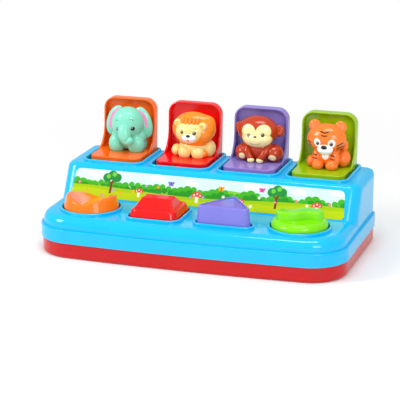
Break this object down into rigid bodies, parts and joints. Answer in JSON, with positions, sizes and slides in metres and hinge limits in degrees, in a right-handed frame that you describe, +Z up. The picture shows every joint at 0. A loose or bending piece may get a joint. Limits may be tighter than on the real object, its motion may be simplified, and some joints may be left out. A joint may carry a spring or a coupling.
{
  "type": "pop up animal toy",
  "caption": "Toddler pop-up toy: a low case with a rocker, a press ramp, a push button and a turning knob, each releasing a sprung lid with a small animal figure.",
  "frame": {"origin": "middle of the underside, at the centre of the bounding box's base", "axes": "+X along the row of lids, +Y to the back, +Z up"},
  "size_m": [0.286, 0.154, 0.1179],
  "materials": {
    "housing_blue": "glossy injection-moulded plastic",
    "tray_red": "glossy injection-moulded plastic",
    "label_film": "printed film label",
    "lid_orange_plastic": "glossy injection-moulded plastic",
    "lid_red_plastic": "glossy injection-moulded plastic",
    "lid_purple_plastic": "glossy injection-moulded plastic",
    "lid_green_plastic": "glossy injection-moulded plastic",
    "rocker_orange_plastic": "glossy injection-moulded plastic",
    "ramp_red_plastic": "glossy injection-moulded plastic",
    "button_purple_plastic": "glossy injection-moulded plastic",
    "knob_green_plastic": "glossy injection-moulded plastic",
    "elephant_plastic": "moulded and painted plastic",
    "lion_plastic": "moulded and painted plastic",
    "monkey_plastic": "moulded and painted plastic",
    "tiger_plastic": "moulded and painted plastic",
    "inner_plastic": "moulded plastic, as moulded",
    "steel": "plain steel"
  },
  "bodies": {
    "case": {"upper_housing": "housing_blue", "base_tray": "tray_red", "scene_label": "label_film", "lid_pin_1": "steel", "lid_pin_2": "steel", "lid_pin_3": "steel", "lid_pin_4": "steel", "lid_spring_1": "steel", "lid_spring_2": "steel", "lid_spring_3": "steel", "lid_spring_4": "steel", "rocker_axle": "steel", "ramp_axle": "steel", "button_spring": "steel", "latch_screws": "steel", "latch_spring_1": "steel", "latch_spring_2": "steel", "latch_spring_3": "steel", "latch_spring_4": "steel", "case_screws": "steel"},
    "lid_orange_body": {"lid_orange": "lid_orange_plastic", "figure_elephant": "elephant_plastic", "figure_screws_1": "steel"},
    "lid_red_body": {"lid_red": "lid_red_plastic", "figure_lion": "lion_plastic", "figure_screws_2": "steel"},
    "lid_purple_body": {"lid_purple": "lid_purple_plastic", "figure_monkey": "monkey_plastic", "figure_screws_3": "steel"},
    "lid_green_body": {"lid_green": "lid_green_plastic", "figure_tiger": "tiger_plastic", "figure_screws_4": "steel"},
    "rocker_body": {"rocker_orange": "rocker_orange_plastic"},
    "ramp_body": {"ramp_red": "ramp_red_plastic"},
    "button_body": {"button_purple": "button_purple_plastic"},
    "knob_body": {"knob_green": "knob_green_plastic", "knob_crank": "inner_plastic", "knob_screw": "steel"},
    "latch_orange_body": {"latch_orange": "inner_plastic"},
    "latch_red_body": {"latch_red": "inner_plastic"},
    "latch_purple_body": {"latch_purple": "inner_plastic"},
    "latch_green_body": {"latch_green": "inner_plastic"}
  },
  "joints": [
    {"name": "lid_orange_hinge", "type": "hinge", "parent": "case", "child": "lid_orange_body", "pos_m": [-0.0975, 0.0678, 0.0654], "axis": [1, 0, 0], "range_deg": [0, 92.9], "stiffness_Nm_per_rad": 0.02, "springref_deg": -57.3, "deforming": ["lid_spring_1"]},
    {"name": "lid_red_hinge", "type": "hinge", "parent": "case", "child": "lid_red_body", "pos_m": [-0.0325, 0.0678, 0.0654], "axis": [1, 0, 0], "range_deg": [0, 92.9], "stiffness_Nm_per_rad": 0.02, "springref_deg": -57.3, "deforming": ["lid_spring_2"]},
    {"name": "lid_purple_hinge", "type": "hinge", "parent": "case", "child": "lid_purple_body", "pos_m": [0.0325, 0.0678, 0.0654], "axis": [1, 0, 0], "range_deg": [0, 92.9], "stiffness_Nm_per_rad": 0.02, "springref_deg": -57.3, "deforming": ["lid_spring_3"]},
    {"name": "lid_green_hinge", "type": "hinge", "parent": "case", "child": "lid_green_body", "pos_m": [0.0975, 0.0678, 0.0654], "axis": [1, 0, 0], "range_deg": [0, 92.9], "stiffness_Nm_per_rad": 0.02, "springref_deg": -57.3, "deforming": ["lid_spring_4"]},
    {"name": "rocker_tilt", "type": "hinge", "parent": "case", "child": "rocker_body", "pos_m": [-0.0975, -0.0365, 0.036], "axis": [0, 1, 0], "range_deg": [-9, 9], "stiffness_Nm_per_rad": 0.08},
    {"name": "ramp_press", "type": "hinge", "parent": "case", "child": "ramp_body", "pos_m": [-0.0325, -0.0215, 0.036], "axis": [1, 0, 0], "range_deg": [0, 8], "stiffness_Nm_per_rad": 0.06, "springref_deg": -17.19},
    {"name": "button_press", "type": "slide", "parent": "case", "child": "button_body", "axis": [0, 0, -1], "range_m": [0, 0.006], "stiffness_N_per_m": 400, "springref_m": -0.004, "deforming": ["button_spring"]},
    {"name": "knob_turn", "type": "hinge", "parent": "case", "child": "knob_body", "pos_m": [0.0975, -0.0365, 0.034], "axis": [0, 0, 1], "range_deg": [-25, 25], "stiffness_Nm_per_rad": 0.05},
    {"name": "latch_orange_swing", "type": "hinge", "parent": "case", "child": "latch_orange_body", "pos_m": [-0.0975, 0.01, 0.0085], "axis": [0, 0, 1], "range_deg": [-6.9, 6.9]},
    {"name": "latch_red_swing", "type": "hinge", "parent": "case", "child": "latch_red_body", "pos_m": [-0.0325, 0.01, 0.0085], "axis": [0, 0, 1], "range_deg": [0, 5.4]},
    {"name": "latch_purple_swing", "type": "hinge", "parent": "case", "child": "latch_purple_body", "pos_m": [0.0325, 0.01, 0.0085], "axis": [0, 0, 1], "range_deg": [0, 5.4]},
    {"name": "latch_green_swing", "type": "hinge", "parent": "case", "child": "latch_green_body", "pos_m": [0.0975, 0.01, 0.0085], "axis": [0, 0, 1], "range_deg": [-7.1, 7.1]}
  ],
  "couplings": [
    {"joint": "latch_orange_swing", "follows": "rocker_tilt", "ratio": -0.7537},
    {"joint": "latch_red_swing", "follows": "ramp_press", "ratio": 0.6625},
    {"joint": "latch_purple_swing", "follows": "button_press", "rad_per_m": 15.41},
    {"joint": "latch_green_swing", "follows": "knob_turn", "ratio": -0.2775}
  ]
}
